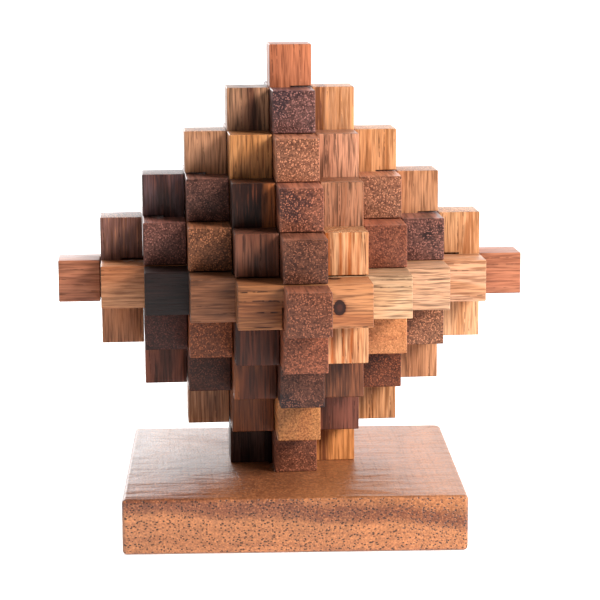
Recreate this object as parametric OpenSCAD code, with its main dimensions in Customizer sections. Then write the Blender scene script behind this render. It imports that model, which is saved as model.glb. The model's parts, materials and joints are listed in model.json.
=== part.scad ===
// Wooden pagoda burr on a rectangular stand. Fifty-one notched sticks cross in three
// directions and fill a stepped, eight-sided crystal. Cells are counted from its centre:
// i to the right, j to the back and k upwards, so -Y is the front. Every stick end stands
// where |i| + |j| + |k| reaches the number of stages.

/* [Sticks] */
// Distance between the centre lines of neighbouring sticks
pitch = 12; // [10:0.5:13.5]
// Gap between the sides of neighbouring sticks
play = 0.2; // [0.1:0.05:0.4]
// Extra length at each end of a notch, which shows as a dark slit
shoulder = 0.3; // [0:0.05:0.6]
// Gap over the halved faces that the key slides along
key_play = 0.05; // [0.02:0.01:0.1]

/* [Stand] */
// Width of the plate, left to right
plate_w = 94; // [70:1:125]
// Depth of the plate, front to back
plate_d = 83; // [70:1:125]
// Thickness of the plate
plate_t = 15.5; // [14.5:0.5:30]
// How far the socket lies behind the plate's middle
socket_back = 4; // [0:0.5:10]
// Turn of the plate under the puzzle, which the easy socket allows
plate_turn = -3; // [-3:0.5:3]
// Gap left round the lowest stick end by its socket
socket_play = 0.15; // [0.1:0.05:0.5]
// Gap left under the lowest stick end, which hangs clear of the socket's floor
socket_gap = 0.4; // [0.1:0.1:0.5]

/* [Hidden] */
STAGES = 5;
stick = pitch - play;
reach = STAGES - 1;        // furthest cell of a crossing from the centre
far = 2 * pitch;           // cuts run this far past the stick that they notch
centre_z = plate_t + (STAGES - 0.5) * pitch - play / 2;
socket_side = stick * (cos(plate_turn) + abs(sin(plate_turn))) + 2 * socket_play;
socket_depth = pitch + socket_gap;

X = [1, 0, 0];
Y = [0, 1, 0];
Z = [0, 0, 1];

CROSSBARS = [for (j = [-reach:reach]) if (j != 0) j];
RAIL_ROWS = [for (k = [-reach:reach]) if (k != 0) k];
SIDE_RAILS = [for (i = [-3, -2, 2, 3], k = [-2:2]) if (k != 0 && abs(i) + abs(k) <= reach) [i, k]];
POSTS = [for (i = [-reach:reach]) if (i != 0) i];
CORNER_POSTS = [for (i = [-1, 1], j = [-3:3]) if (j != 0) [i, j]];

function number(n) = str(abs(n));
function level(k) = str(k > 0 ? "up_" : "down_", number(k));
function flank(i) = str(i > 0 ? "right_" : "left_", number(i));
function face(j) = str(j > 0 ? "back_" : "front_", number(j));

function crossbar_name(j) = str("crossbar_", face(j));
function rail_name(k) = k == 1 ? "key_rail" : str("rail_", level(k));
function side_rail_name(c) = str("rail_", flank(c[0]), "_", level(c[1]));
function post_name(i) = str("post_", flank(i));
function corner_post_name(c) = str("post_", c[0] > 0 ? "right_" : "left_", face(c[1]));

// How many cells a stick reaches each way when it stands this far off the centre
function half_cells(off_centre) = STAGES - off_centre;

// A whole stick along one axis, centred on a cell
module stick_blank(along, cell, cells) {
    long = (2 * cells + 1) * pitch - play;
    translate(cell * pitch)
        cube([for (a = [0:2]) along[a] == 1 ? long : stick], center = true);
}

// Half the stick's depth, taken out on its `open` side over the cells from `first` to `last`.
// `face_gap` cuts it that much past the middle.
module notch(along, open, cell, first, last, ends = shoulder, face_gap = 0) {
    length = (last - first + 1) * pitch - play + 2 * ends;
    middle = cell * pitch + along * (first + last) / 2 * pitch;
    size = [for (a = [0:2]) along[a] == 1 ? length : open[a] != 0 ? far : 2 * far];
    translate(middle + open * (far / 2 - face_gap)) cube(size, center = true);
}

// The way outwards, away from the centre, for a row on one side of it
function outward(n) = n > 0 ? 1 : -1;

module centre_crossbar() {
    color("#7b4a35") difference() {
        stick_blank(X, [0, 0, 0], half_cells(0));
        notch(X, -Y, [0, 0, 0], -reach, reach);
        notch(X, -Z, [0, 0, 0], 0, 0);
    }
}

module crossbar(j) {
    cell = [0, j, 0];
    color("#b5703f") difference() {
        stick_blank(X, cell, half_cells(abs(j)));
        notch(X, -Z, cell, 0, 0);
        if (abs(j) < reach)
            for (i = [-1, 1]) notch(X, -outward(j) * Y, cell, i, i);
    }
}

module centre_rail() {
    color("#8a5636") difference() {
        stick_blank(Y, [0, 0, 0], half_cells(0));
        notch(Y, Z, [0, 0, 0], -reach, reach);
        notch(Y, -X, [0, 0, 0], 0, 0);
    }
}

module rail(k) {
    cell = [0, 0, k];
    color("#6e4636") difference() {
        stick_blank(Y, cell, half_cells(abs(k)));
        notch(Y, -X, cell, 0, 0);
    }
}

// The key's notch is three cells long, so it slides a cell to the front and to the back
module key_rail() {
    cell = [0, 0, 1];
    color("#5d3a2c") difference() {
        stick_blank(Y, cell, half_cells(1));
        notch(Y, -X, cell, -1, 1, shoulder, key_play);
    }
}

module side_rail(i, k) {
    cell = [i, 0, k];
    color("#74452f") difference() {
        stick_blank(Y, cell, half_cells(abs(i) + abs(k)));
        notch(Y, -outward(i) * X, cell, 0, 0);
    }
}

module centre_post() {
    color("#c06a3c") difference() {
        stick_blank(Z, [0, 0, 0], half_cells(0));
        notch(Z, X, [0, 0, 0], -reach, reach);
        notch(Z, Y, [0, 0, 0], 0, 0);
    }
}

module post(i) {
    cell = [i, 0, 0];
    side_rows = reach - abs(i);    // levels above the middle that side rails cross
    color("#a8663a") difference() {
        stick_blank(Z, cell, half_cells(abs(i)));
        notch(Z, Y, cell, 0, 0);
        if (abs(i) > 1 && side_rows > 0) {
            notch(Z, outward(i) * X, cell, 1, side_rows);
            notch(Z, outward(i) * X, cell, -side_rows, -1);
        }
        if (abs(i) == reach) notch(Z, -outward(i) * X, cell, 0, 0);
    }
}

module corner_post(i, j) {
    cell = [i, j, 0];
    color("#96592f") difference() {
        stick_blank(Z, cell, half_cells(abs(i) + abs(j)));
        notch(Z, outward(j) * Y, cell, 0, 0);
    }
}

// A plain plate with a blind square socket, in which the lowest stick end stands
module stand_plate() {
    color("#b87445") rotate([0, 0, plate_turn]) difference() {
        translate([-plate_w / 2, -plate_d / 2 - socket_back, 0])
            cube([plate_w, plate_d, plate_t]);
        translate([-socket_side / 2, -socket_side / 2, plate_t - socket_depth])
            cube([socket_side, socket_side, plate_t]);
    }
}

module raised() {
    translate([0, 0, centre_z]) children();
}

stand_plate();
raised() centre_crossbar();
raised() centre_rail();
raised() centre_post();
for (j = CROSSBARS)
    raised() crossbar(j);
for (k = RAIL_ROWS)
    raised() {
        if (k == 1) key_rail();
        else rail(k);
    }
for (c = SIDE_RAILS)
    raised() side_rail(c[0], c[1]);
for (i = POSTS)
    raised() post(i);
for (c = CORNER_POSTS)
    raised() corner_post(c[0], c[1]);
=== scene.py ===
"""Looks of a wooden pagoda burr on its plate: eased stick edges and a solid figured wood."""
import json
import math
import random

import bmesh
import bpy
from mathutils import Euler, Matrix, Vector


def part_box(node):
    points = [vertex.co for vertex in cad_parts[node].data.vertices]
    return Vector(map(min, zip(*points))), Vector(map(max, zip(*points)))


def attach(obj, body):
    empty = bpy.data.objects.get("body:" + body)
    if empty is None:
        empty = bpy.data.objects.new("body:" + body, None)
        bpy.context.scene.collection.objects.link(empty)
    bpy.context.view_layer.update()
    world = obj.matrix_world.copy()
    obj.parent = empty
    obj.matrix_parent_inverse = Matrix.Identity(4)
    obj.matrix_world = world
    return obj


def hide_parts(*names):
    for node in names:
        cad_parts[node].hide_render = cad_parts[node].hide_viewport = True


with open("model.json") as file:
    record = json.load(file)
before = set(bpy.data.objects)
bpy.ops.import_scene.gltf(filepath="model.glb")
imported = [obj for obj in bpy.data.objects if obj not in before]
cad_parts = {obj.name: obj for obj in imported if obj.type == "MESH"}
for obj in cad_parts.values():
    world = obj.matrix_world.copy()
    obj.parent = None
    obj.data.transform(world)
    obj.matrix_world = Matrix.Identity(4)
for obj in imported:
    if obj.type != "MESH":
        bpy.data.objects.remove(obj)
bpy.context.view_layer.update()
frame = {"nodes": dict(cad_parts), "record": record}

# ---------------------------------------------------------------- sizes, in metres
PITCH = 0.012                 # from one stick to the next
STICK_EASE = 0.0003           # rounding of a stick's edges
PLATE_EASE = 0.0011           # rounding of the plate's edges
EASE_STEPS = 3                # facets of a rounded edge
SAME_POINT = 1e-6             # corners nearer than this are one corner
FLAT = math.radians(1)        # faces that meet flatter than this are one face
PLATE_TURN = math.radians(-3)
POST_LOW, POST_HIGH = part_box("centre_post")
PUZZLE_CENTRE = Vector((0, 0, (POST_LOW.z + POST_HIGH.z) / 2))
FLOOR_REACH = 4.0

# where the camera stands, in pitches from the puzzle's centre, and how it is turned
CAMERA_PLACE = Vector((-3.88, -50.19, 8.39))
TILT_DOWN, TURN_RIGHT, ROLL = (math.radians(angle) for angle in (10.17, 4.69, -0.30))
CAMERA_LENS = 128             # in millimetres


# ---------------------------------------------------------------- camera, lights and floor
def studio_camera():
    """A long lens, a little to the left of the puzzle and above its middle."""
    lens = bpy.data.cameras.new("camera")
    lens.lens = CAMERA_LENS
    lens.clip_start = 0.01
    camera = bpy.data.objects.new("camera", lens)
    bpy.context.scene.collection.objects.link(camera)
    aim = Euler((math.pi / 2 - TILT_DOWN, 0, -TURN_RIGHT)).to_matrix().to_4x4()
    camera.matrix_world = aim @ Euler((0, 0, ROLL)).to_matrix().to_4x4()
    camera.location = PUZZLE_CENTRE + CAMERA_PLACE * PITCH
    bpy.context.scene.camera = camera


def softbox(name, azimuth, elevation, distance, size, power):
    """A flat lamp aimed at the puzzle, in metres. Azimuth is from the front, round to the right."""
    lamp = bpy.data.lights.new(name, "AREA")
    lamp.shape = "RECTANGLE"
    lamp.size, lamp.size_y = size
    lamp.energy = power
    thing = bpy.data.objects.new(name, lamp)
    bpy.context.scene.collection.objects.link(thing)
    a, e = math.radians(azimuth), math.radians(elevation)
    away = Vector((math.sin(a) * math.cos(e), -math.cos(a) * math.cos(e), math.sin(e)))
    thing.location = PUZZLE_CENTRE + away * distance
    thing.rotation_euler = away.to_track_quat("Z", "Y").to_euler()


def studio():
    """A key lamp on the right, a weaker one on the left, one behind, and a white room behind."""
    softbox("key_light", 52, 31, 0.9, (0.32, 0.32), 15.0)
    softbox("fill_light", -25, 40, 1.1, (0.5, 0.5), 1.1)
    softbox("back_light", 208, 20, 1.1, (0.9, 0.6), 8.0)
    world = bpy.data.worlds.new("studio")
    world.use_nodes = True
    bpy.context.scene.world = world
    tree = world.node_tree
    w = Wire(tree)
    way = w.node("TexCoord", None, 0)
    behind = w.node("SeparateXYZ", None, 1, s0=way).step(-0.1, 0.8)
    lit = 0.09 + behind * 1.8
    seen = w.node("LightPath", None, 0)
    strength = seen + (1 - seen) * lit
    sky = tree.nodes["Background"]
    sky.inputs["Color"].default_value = (1, 1, 1, 1)
    strength.feed(sky.inputs["Strength"])
    bpy.context.scene.view_settings.view_transform = "Standard"


def pale_floor():
    """A plain white glossy table."""
    mesh = bpy.data.meshes.new("floor")
    quarters = [(-1, -1), (1, -1), (1, 1), (-1, 1)]
    mesh.from_pydata([(x * FLOOR_REACH, y * FLOOR_REACH, 0) for x, y in quarters], [], [(0, 1, 2, 3)])
    floor = bpy.data.objects.new("floor", mesh)
    bpy.context.scene.collection.objects.link(floor)
    paint = bpy.data.materials.new("white_table")
    paint.use_nodes = True
    gloss = paint.node_tree.nodes["Principled BSDF"]
    gloss.inputs["Base Color"].default_value = (0.93, 0.93, 0.93, 1)
    gloss.inputs["Roughness"].default_value = 0.22
    gloss.inputs["Emission Color"].default_value = (1, 1, 1, 1)
    gloss.inputs["Emission Strength"].default_value = 0.30
    mesh.materials.append(paint)


# ---------------------------------------------------------------- shader maths
class Wire:
    """A socket in a material. Its operators add Math nodes, so a pattern reads as a sum."""

    def __init__(self, tree, socket=None):
        self.tree, self.socket = tree, socket

    def node(self, kind, settings=None, out=0, **sockets):
        """Any other node: its type, its settings, and what its sockets hold or are fed by."""
        made = self.tree.nodes.new("ShaderNode" + kind)
        for name, value in (settings or {}).items():
            setattr(made, name, value)
        for name, value in sockets.items():
            into = made.inputs[int(name[1:]) if name[1:].isdigit() else name.replace("_", " ")]
            if isinstance(value, Wire):
                self.tree.links.new(value.socket, into)
            else:
                into.default_value = value
        return Wire(self.tree, made.outputs[out])

    def maths(self, operation, first, second=0.0):
        return self.node("Math", {"operation": operation}, s0=first, s1=second)

    def __add__(self, other):
        return self.maths("ADD", self, other)

    def __radd__(self, other):
        return self.maths("ADD", other, self)

    def __sub__(self, other):
        return self.maths("SUBTRACT", self, other)

    def __rsub__(self, other):
        return self.maths("SUBTRACT", other, self)

    def __mul__(self, other):
        return self.maths("MULTIPLY", self, other)

    def __rmul__(self, other):
        return self.maths("MULTIPLY", other, self)

    def __pow__(self, other):
        return self.maths("POWER", self, other)

    def step(self, low, high):
        """A smooth step from 0 at low to 1 at high."""
        return self.node("MapRange", {"interpolation_type": "SMOOTHSTEP"}, s0=self, s1=low, s2=high)

    def over(self, under, colour):
        """Lays a colour over another, as far as this mask says."""
        return self.node("Mix", {"data_type": "RGBA"}, 2, s0=self, s6=under, s7=colour)

    def times(self, colour):
        """A colour made lighter or darker by this number."""
        return self.node("VectorMath", {"operation": "SCALE"}, 0, s0=colour, Scale=self)

    def vector(self, x, y, z):
        return self.node("CombineXYZ", s0=x, s1=y, s2=z)

    def feed(self, socket):
        """Joins this to a socket of a node that is there already."""
        self.tree.links.new(self.socket, socket)


WARMTH = (1.05, 1.0, 1.06)    # the oil on the wood turns every tone this way
DEPTH = (0.98, 1.08, 1.14)    # and makes the dark tones richer still


def paint(code, gain=1.0):
    """A colour from its six-figure screen code, oiled, as the shader wants it."""
    parts = [int(code[n:n + 2], 16) / 255 for n in (0, 2, 4)]
    oiled = [((part + 0.055) / 1.055) ** (2.4 * depth) * warm * gain
             for part, depth, warm in zip(parts, DEPTH, WARMTH)]
    return (*oiled, 1.0)


# ---------------------------------------------------------------- wood
GAIN = 0.62                   # how much of a tone's light the wood gives back
PORE = "24120e"
FIBRES = 26                   # fine fibres to a pitch
LOG_REACH = 40                # each piece is cut from its own place, within so many pitches
PITH_NEAR, PITH_FAR = 2.5, 6  # how far from a stick its pith lies, in pitches
GRAIN_RELIEF = 0.00016        # depth of the grain, in metres
GRAIN_AXES = {"x": (1, 2, 0), "y": (0, 2, 1), "z": (0, 1, 2)}  # across, upright and along

# a knot from outside in: where its edge starts and ends, its weight and its colour
KNOT_LAYERS = ((0.9, 1.3, 0.5, "7a3a20"),
               (0.86, 0.98, 0.96, "2c1a18"),
               (0.2, 0.6, 0.5, "6a4034"))

# a plain stick; a piece's own look changes what it names
PLAIN_STICK = dict(
    lines=0.5, ring_rate=2.2, wander=3.2,                    # growth rings
    pith=None, middle=(0, 0),                                # None puts the pith by chance
    bands=(),                                                # place, half width, weight, colour
    fade=None,                                               # colour, and from where to where
    heart="3a2420", heart_share=0.0,                         # dark streaks of heartwood
    pores=0.45, end_pores=0.5, pore_rate=9, pore_size=0.17, stretch=1.0,
    specks=0.8, speck_rate=20,                               # pale specks of end grain
    grit=20, drawn=0.06, shade=0.7, flecks=0.35,             # the finest grain
    side=1.0, end=0.62,                                      # how light sides and ends are
    knots=(), ripple=0.0, satin=0.30, gloss=0.22)


def grain_noise(w, u, v, n, across, along, detail=1.0):
    """Noise with its own rates across and along the grain."""
    return w.node("TexNoise", None, 0, Scale=1.0, Detail=detail,
                  Vector=w.vector(u * across, v * across, n * along))


def tubes(w, u, v, n, rate, size, breaks, stretch=1.0):
    """Tubes along the grain, so many to a pitch: dots on an end, dashes on a side."""
    cells = w.node("TexVoronoi", {"voronoi_dimensions": "2D"}, 0, Scale=1.0,
                   Vector=w.vector(u * (rate / stretch), v * rate, 0.0))
    gaps = grain_noise(w, u, v, n, rate * 0.6, breaks)
    return (1 - cells.step(size * 0.5, size)) * gaps.step(0.42, 0.55)


def pith_of(look, chance):
    """Where the pith lies. It is a few sticks away, so rings cross a stick as shallow arcs."""
    angle = chance.uniform(0, 2 * math.pi)
    away = chance.uniform(PITH_NEAR, PITH_FAR)
    across, upright = look["middle"]
    return look["pith"] or (across + away * math.cos(angle), upright + away * math.sin(angle))


def ring_colours(w, look, radius, warp, length):
    """The two tones of the growth rings, which may fade into a second pair along the stick; on the
    front crossbars that fade is partly painted shade.
    """
    growth = w.node("TexNoise", {"noise_dimensions": "1D"}, 0, Detail=3.0, Roughness=0.62,
                    W=radius * look["ring_rate"] + warp * look["wander"], Scale=1.0)
    rings = growth.step(0.34, 0.68) * look["lines"]
    colour = rings.over(paint(look["light"], GAIN), paint(look["dark"], GAIN))
    # a fade into a second pair of tones; on the front crossbars the darker left ends are partly painted
    # shade
    if look["fade"]:
        other, start, stop = look["fade"]
        second = rings.over(paint(other, GAIN), paint(look["fade_dark"], GAIN))
        colour = (length + (warp - 0.5) * 1.4).step(start, stop).over(colour, second)
    return colour


def heart_and_bands(w, look, u, v, n, radius, warp, colour):
    """Streaks of heartwood, and single dark rings at chosen distances from the pith."""
    if look["heart_share"]:
        spread = 0.3 * look["heart_share"]
        heart = grain_noise(w, u, v, n, 1.1, 0.16, 3.0).step(0.66 - spread, 0.74 - spread)
        colour = (heart * 0.85).over(colour, paint(look["heart"], GAIN))
    for level, half, weight, code in look["bands"]:
        off = radius + (warp - 0.5) * 0.5 - level
        band = 1 - (off * off).step(0.0, half * half)
        colour = (band * weight).over(colour, paint(code, GAIN))
    return colour


def knotted(look, axes, grit, colour):
    """Round knots, each a stained halo, a dark rim and a paler heart."""
    for centre, size in look["knots"]:
        gap = [(a - c) * (1 / s) for a, c, s in zip(axes, centre, size)]
        reach = (gap[0] * gap[0] + gap[1] * gap[1] + gap[2] * gap[2]) ** 0.5 + (grit - 0.5) * 0.3
        for inner, outer, weight, code in KNOT_LAYERS:
            colour = ((1 - reach.step(inner, outer)) * weight).over(colour, paint(code, GAIN))
    return colour


def wood(name, along, own_look, seed, turn=0.0):
    """Solid wood: growth rings round a pith beside the stick, fibres, pores and heart streaks."""
    look = {**PLAIN_STICK, **own_look}
    chance = random.Random(seed)
    material = bpy.data.materials.new(name)
    material.use_nodes = True
    w = Wire(material.node_tree)
    place = w.node("Mapping", {"vector_type": "TEXTURE"}, Vector=w.node("TexCoord", None, 3),
                   Location=PUZZLE_CENTRE, Rotation=(0, 0, turn), Scale=(PITCH,) * 3)
    axes = [w.node("SeparateXYZ", None, out, s0=place) for out in range(3)]
    across, upright, run = GRAIN_AXES[along]
    shift = [chance.uniform(-LOG_REACH, LOG_REACH) for _ in range(3)]
    u, v, n = axes[across] + shift[0], axes[upright] + shift[1], axes[run] + shift[2]
    facing = w.node("SeparateXYZ", None, run, s0=w.node("TexCoord", None, 1))
    end = (facing * facing).step(0.3, 0.7)

    pith_u, pith_v = pith_of(look, chance)
    warp = grain_noise(w, u, v, n, 0.55, 0.22)
    du, dv = u - (shift[0] + pith_u), v - (shift[1] + pith_v)
    radius = (du * du + dv * dv) ** 0.5

    grit = grain_noise(w, u, v, n, look["grit"], look["grit"] * look["drawn"], 3.0)
    fibre = grain_noise(w, u, v, n, FIBRES, FIBRES * look["drawn"])
    patch = grain_noise(w, u, v, n, 0.9, 0.25, 2.0)
    lean_u, lean_v = u + warp * 0.4 + n * 0.03, v + warp * 0.4
    pore = tubes(w, lean_u, lean_v, n, look["pore_rate"], look["pore_size"], 6.5, look["stretch"])
    pore = pore * (end * (look["end_pores"] - look["pores"]) + look["pores"])
    speck = tubes(w, lean_u + 5, lean_v + 3, n, look["speck_rate"], 0.38, 2.4)
    speck = speck * (end * 0.75 + 0.12) * look["specks"]

    colour = ring_colours(w, look, radius, warp, axes[run])
    colour = heart_and_bands(w, look, u, v, n, radius, warp, colour)
    deep, pale = paint(look["dark"], GAIN * 0.45), paint(look["light"], GAIN * 1.5)
    colour = ((1 - grit.step(0.32, 0.56)) * look["shade"]).over(colour, deep)
    colour = (grit.step(0.52, 0.68) * look["flecks"]).over(colour, pale)
    colour = (fibre.step(0.52, 0.72) * look["shade"] * 0.6).over(colour, deep)
    # how light sides and ends are; on the plate the darker top is partly painted shade
    gain = (patch * 0.7 + 0.65) * (end * (look["end"] - look["side"]) + look["side"])
    colour = speck.over(gain.times(colour), paint(look["light"], GAIN * 1.9))
    colour = knotted(look, axes, grit, pore.over(colour, paint(PORE, GAIN)))

    shader = material.node_tree.nodes["Principled BSDF"]
    shader.inputs["Specular IOR Level"].default_value = look["gloss"]
    colour.feed(shader.inputs["Base Color"])
    (grit * 0.16 + pore * 0.25 + look["satin"]).feed(shader.inputs["Roughness"])
    height = grit * 0.9 + fibre * 0.4 - pore * 0.9
    if look["ripple"]:
        height = height + grain_noise(w, u, v, n, 0.8, 2.4, 3.0) * look["ripple"]
    relief = w.node("Bump", None, 0, Strength=0.5, Distance=GRAIN_RELIEF, Height=height)
    relief.feed(shader.inputs["Normal"])
    return material


# ---------------------------------------------------------------- pieces
def eased(node, width, material, body):
    """A copy of a CAD piece with its outward edges rounded, as sandpaper leaves them."""
    source = frame["nodes"][node]
    mesh = bmesh.new()
    mesh.from_mesh(source.data)
    bmesh.ops.remove_doubles(mesh, verts=mesh.verts, dist=SAME_POINT)
    bmesh.ops.dissolve_limit(mesh, angle_limit=FLAT, verts=mesh.verts, edges=mesh.edges)
    weight = mesh.edges.layers.float.new("bevel_weight_edge")
    for edge in mesh.edges:
        edge[weight] = 1.0 if edge.is_convex else 0.0
    blank = bpy.data.meshes.new(node + "_blank")
    mesh.to_mesh(blank)
    mesh.free()
    blank.materials.clear()
    blank.materials.append(material)
    for face in blank.polygons:
        face.use_smooth = True
        face.material_index = 0
    raw = bpy.data.objects.new(node + "_raw", blank)
    bpy.context.scene.collection.objects.link(raw)
    ease = raw.modifiers.new("ease", "BEVEL")
    ease.limit_method = "WEIGHT"
    ease.width = width
    ease.segments = EASE_STEPS
    ease.harden_normals = True
    bpy.context.view_layer.update()
    done = bpy.data.meshes.new_from_object(raw.evaluated_get(bpy.context.evaluated_depsgraph_get()))
    bpy.data.objects.remove(raw)
    done.name = node
    piece = bpy.data.objects.new("wood_" + node, done)
    bpy.context.scene.collection.objects.link(piece)
    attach(piece, body)
    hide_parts(node)
    return piece


TONES = {
    "cream": dict(light="f2c898", dark="dfa06c"),
    "straw": dict(light="eeb482", dark="d08e5a"),
    "honey": dict(light="e0a070", dark="b8744a"),
    "orange": dict(light="de9464", dark="b9683e"),
    "rust": dict(light="d48a62", dark="b46a48"),
    "tan": dict(light="cc9068", dark="94603f"),
    "russet": dict(light="b4785c", dark="845040"),
    "chestnut": dict(light="9c6a50", dark="6e4434"),
    "umber": dict(light="80543f", dark="543428"),
    "plum": dict(light="806058", dark="503a38"),
    "coal": dict(light="42322c", dark="1e1a1c"),
}


def tone(name, **changes):
    return {**TONES[name], **changes}


# where the two knots of the front crossbar sit, and their half sizes, in pitches
KNOTS = (((0.74, -4.5, -0.03), (0.145, 0.35, 0.19)),
         ((0.68, -3.72, 0.5), (0.17, 0.16, 0.12)))

# what each stick is cut from; a fade runs along the grain from one pitch to another, and on the front
# crossbars the darker left ends are partly painted shade
LOOKS = {
    "centre_crossbar": tone("rust", light="cc8c6c", dark="ac6c50", lines=0.6),
    # the front crossbars: wood that pales to the right, with their left ends darkened further as
    # painted shade, the shade on the side away from the key lamp
    "crossbar_front_1": tone("honey", light="dca47a", lines=0.8, ring_rate=3.2,
                             fade=("f2c09a", 0, 2), fade_dark="d69a6c"),
    "crossbar_front_2": tone("coal", light="2a2020", dark="141214", pores=0.3,
                             fade=("fac8a0", -1.2, 1.2), fade_dark="eeb488"),
    "crossbar_front_3": tone("tan", light="a07254", dark="744c34", lines=0.7,
                             fade=("f2d0a8", -0.4, 1.2), fade_dark="e2ac78"),
    "crossbar_front_4": tone("chestnut", light="ac7850", dark="84543a", lines=0.7, pores=0.9,
                             fade=("e4a676", -0.7, 0.4), fade_dark="b8744a", knots=KNOTS),
    "centre_post": tone("rust", light="ce8662", dark="b06446", lines=0.8, ring_rate=6.0),
    "post_right_1": tone("orange", lines=0.4, pith=(-40, 0), bands=((40.78, 0.17, 0.85, "6a3c34"),),
                         light="fcb070", dark="e0904e",
                         fade=("f0b88c", -2, 2), fade_dark="cc8450"),
    "post_right_2": tone("straw", lines=0.9, dark="c4824e"),
    "post_right_3": tone("honey", light="dea67c", dark="b47850", lines=0.6),
    "post_right_4": tone("cream", lines=0.8, light="f8c698", dark="dc9c68", ring_rate=3.6,
                         fade=("eeb482", -0.5, 0.5), fade_dark="c07c4c"),
    "post_right_front_1": tone("umber", light="86584a", fade=("f2b490", -1.5, 0.5), fade_dark="da9874"),
    "post_right_front_2": tone("umber", lines=1.0, ring_rate=5.0, light="a06a4c", dark="402a22",
                               fade=("e0a884", -1, 1), fade_dark="a06a4c"),
    "post_right_front_3": tone("straw", lines=0.95, light="f4c090", dark="cc7436", ring_rate=7),
    "post_left_1": tone("coal", light="5e4a44", dark="2a2224", lines=1.0, ring_rate=3.0,
                        fade=("e0ac86", -3.5, -1), fade_dark="845c48"),
    "post_left_2": tone("tan", lines=0.7, light="e8b088", dark="9a6a48"),
    "post_left_3": tone("umber", light="905c4a", lines=0.8,
                        fade=("6c5c60", -0.5, 0.5), fade_dark="3c3032"),
    "post_left_4": tone("tan", lines=0.9, fade=("96726a", -0.5, 0.5), fade_dark="6a4c44"),
    "post_left_front_1": tone("chestnut", light="9c6440", dark="6e4228", lines=0.6,
                              fade=("f2b074", -0.5, 0.5), fade_dark="c07c40"),
    "post_left_front_2": tone("umber", light="844e34", dark="4c2a1c", lines=0.9, heart="c07848",
                              heart_share=0.45, fade=("2e1e19", -0.5, 0.5), fade_dark="120e0e"),
    "post_left_front_3": tone("umber", light="6a4030", dark="3a221a", lines=1.0,
                              fade=("906450", -0.5, 0.5), fade_dark="4e3428"),
    "centre_rail": tone("chestnut", light="8e5f4a", dark="5e3c30"),
    "key_rail": tone("umber", light="825a48", dark="462c24"),
    "rail_up_2": tone("russet", light="a46e58", dark="70463a", heart="4a3638", heart_share=0.4),
    "rail_up_3": tone("russet", light="bc8668"),
    "rail_up_4": tone("plum", light="8e6a64", heart="3c3440", heart_share=0.4),
    "rail_down_1": tone("russet", light="95604a", dark="6a4230"),
    "rail_down_2": tone("umber", light="6c4c40", dark="3c2822", heart="24222a", heart_share=0.6),
    "rail_down_3": tone("honey", light="d49660", specks=0.3),
    "rail_down_4": tone("chestnut", light="986650"),
    "rail_right_2_up_2": tone("russet", light="b08064"),
    "rail_right_2_up_1": tone("russet", light="98644e", specks=0.7),
    "rail_right_3_up_1": tone("plum", light="8c665c", heart="1c1a22", heart_share=0.5),
    "rail_right_2_down_1": tone("orange", light="e8a470", dark="c87c50", specks=0.3, shade=0.4),
    "rail_right_3_down_1": tone("chestnut", light="a87c60"),
    "rail_right_2_down_2": tone("umber", light="825038", dark="4c2a1c"),
    "rail_left_2_up_2": tone("umber", light="7c5a50", dark="402a24"),
    "rail_left_2_up_1": tone("russet", light="a87454", dark="6a442e"),
    "rail_left_3_up_1": tone("umber", light="90665c", dark="4c302a"),
    "rail_left_2_down_1": tone("russet", light="a06444", dark="6c3e2a"),
    "rail_left_3_down_1": tone("umber", light="5e3e38", dark="3a2420"),
    "rail_left_2_down_2": tone("umber", light="5e3e32", dark="38221c"),
}
# the sticks that run front to back show their end grain, which is paler here
END_GRAIN = dict(specks=1.0, side=1.5, end=0.8)
PLATE_SEED, FIRST_SEED = 7, 100
REST_OF_THE_WOOD = ["honey", "russet", "orange", "chestnut", "tan", "umber", "straw"]
# the plate: its top and sides (side grain) are darker than its front partly as painted shade, taking
# back light the key lamp throws on the top
PLATE_LOOK = tone("orange", light="eaa06a", dark="8a4e34", lines=0.35, ring_rate=3.0, pores=0.15,
                  flecks=0.4, end_pores=0.9, pore_rate=16, pore_size=0.36, stretch=1.4, drawn=0.6,
                  satin=0.31, wander=1.3, pith=(-4, -70), shade=0.35, specks=0.15, grit=22, end=0.93,
                  side=0.66, ripple=9, gloss=0.6, bands=((65.37, 0.26, 0.8, "8a4e34"),))


def direction(node):
    """The way a stick's grain runs, which is its longest side."""
    low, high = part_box(node)
    sides = high - low
    return "xyz"[max(range(3), key=lambda axis: sides[axis])]


bodies = frame["record"]["behaviour"]["bodies"]

studio_camera()
studio()
pale_floor()
count = 0
for body, members in bodies.items():
    for node in members:
        count += 1
        if node == "stand_plate":
            eased(node, PLATE_EASE, wood("plate_wood", "y", PLATE_LOOK, PLATE_SEED, PLATE_TURN), body)
            continue
        way = direction(node)
        look = dict(LOOKS.get(node) or TONES[REST_OF_THE_WOOD[count % len(REST_OF_THE_WOOD)]])
        if way == "y":
            look = {**END_GRAIN, **look}
        low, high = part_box(node)
        centre = ((low + high) / 2 - PUZZLE_CENTRE) / PITCH
        look["middle"] = [centre[axis] for axis in GRAIN_AXES[way][:2]]
        eased(node, STICK_EASE, wood(node + "_wood", way, look, FIRST_SEED + count), body)
